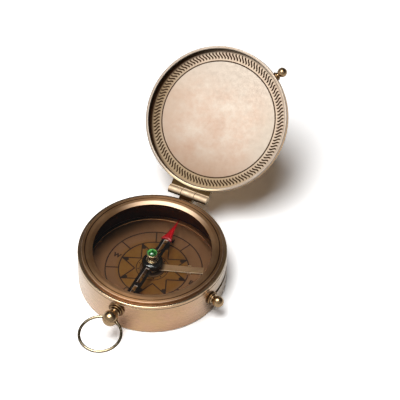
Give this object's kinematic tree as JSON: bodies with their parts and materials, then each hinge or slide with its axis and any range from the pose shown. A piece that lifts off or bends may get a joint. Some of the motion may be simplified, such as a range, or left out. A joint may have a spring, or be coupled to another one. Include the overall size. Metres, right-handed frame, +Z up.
{
  "type": "pocket compass",
  "caption": "Round brass pocket compass with a hinged lid, a glazed dial, a lockable magnetic needle and a carrying ring.",
  "frame": {"origin": "centre of the flat underside of the case", "axes": "+Z up along the case and the needle pivot, +Y from the centre to the lid hinge (north on the dial), +X to east on the dial"},
  "size_m": [0.0814, 0.1701, 0.0698],
  "materials": {
    "aged_brass": "turned and polished brass with an aged brown tone",
    "pale_brass": "plain sheet and turned brass",
    "dial_brass": "matt aged brass with dark engraved lines",
    "steel": "polished steel",
    "black_lacquer": "glossy black lacquer on steel",
    "red_lacquer": "glossy red lacquer on steel",
    "crystal_glass": "clear flat glass",
    "green_glass": "green glass cabochon",
    "agate": "polished agate",
    "gasket_rubber": "thin black seat ring"
  },
  "bodies": {
    "case": {"case_body": "aged_brass", "dial_plate": "dial_brass", "dial_ring": "aged_brass", "pivot_post": "pale_brass", "pivot_point": "steel", "pivot_nut": "pale_brass", "crystal_gasket": "gasket_rubber", "crystal": "crystal_glass", "bezel_ring": "aged_brass", "lever_saddle": "pale_brass", "lever_pin": "steel", "case_hinge_leaf": "aged_brass", "hinge_pin": "aged_brass", "ring_post": "aged_brass", "ring_post_nut": "pale_brass"},
    "lid": {"lid_shell": "aged_brass", "lid_hinge_leaf": "aged_brass", "lid_knob": "aged_brass"},
    "ring": {"bow_ring": "aged_brass"},
    "lock": {"lock_slider": "pale_brass", "lock_knob": "aged_brass", "lock_nut": "pale_brass"},
    "lever": {"lock_lever": "pale_brass"},
    "needle": {"needle_hub": "black_lacquer", "needle_blade": "black_lacquer", "north_arrow": "red_lacquer", "hub_dome": "black_lacquer", "needle_cap": "aged_brass", "bearing_cup": "agate", "cap_jewel": "green_glass"}
  },
  "joints": [
    {"name": "lid_hinge", "type": "hinge", "parent": "case", "child": "lid", "pos_m": [0, 0.0412, 0.0196], "axis": [-1, 0, 0], "range_deg": [-140.2, 0]},
    {"name": "ring_swing", "type": "hinge", "parent": "case", "child": "ring", "pos_m": [-0.00116, -0.04448, 0.0136], "axis": [0.9997, -0.0262, 0], "range_deg": [-93.5, 81.5]},
    {"name": "lock_slide", "type": "hinge", "parent": "case", "child": "lock", "pos_m": [0, 0, 0.0103], "axis": [0, 0, 1], "range_deg": [0, 40.5]},
    {"name": "lever_tilt", "type": "hinge", "parent": "case", "child": "lever", "pos_m": [0.01757, 0.00612, 0.00585], "axis": [-0.3289, 0.9444, 0], "range_deg": [0, 1.54]},
    {"name": "needle_spin", "type": "hinge", "parent": "lever", "child": "needle", "pos_m": [0, 0, 0.0106], "axis": [0, 0, 1], "continuous": true}
  ],
  "couplings": [
    {"joint": "lever_tilt", "follows": "lock_slide", "ratio": 0.038025}
  ]
}
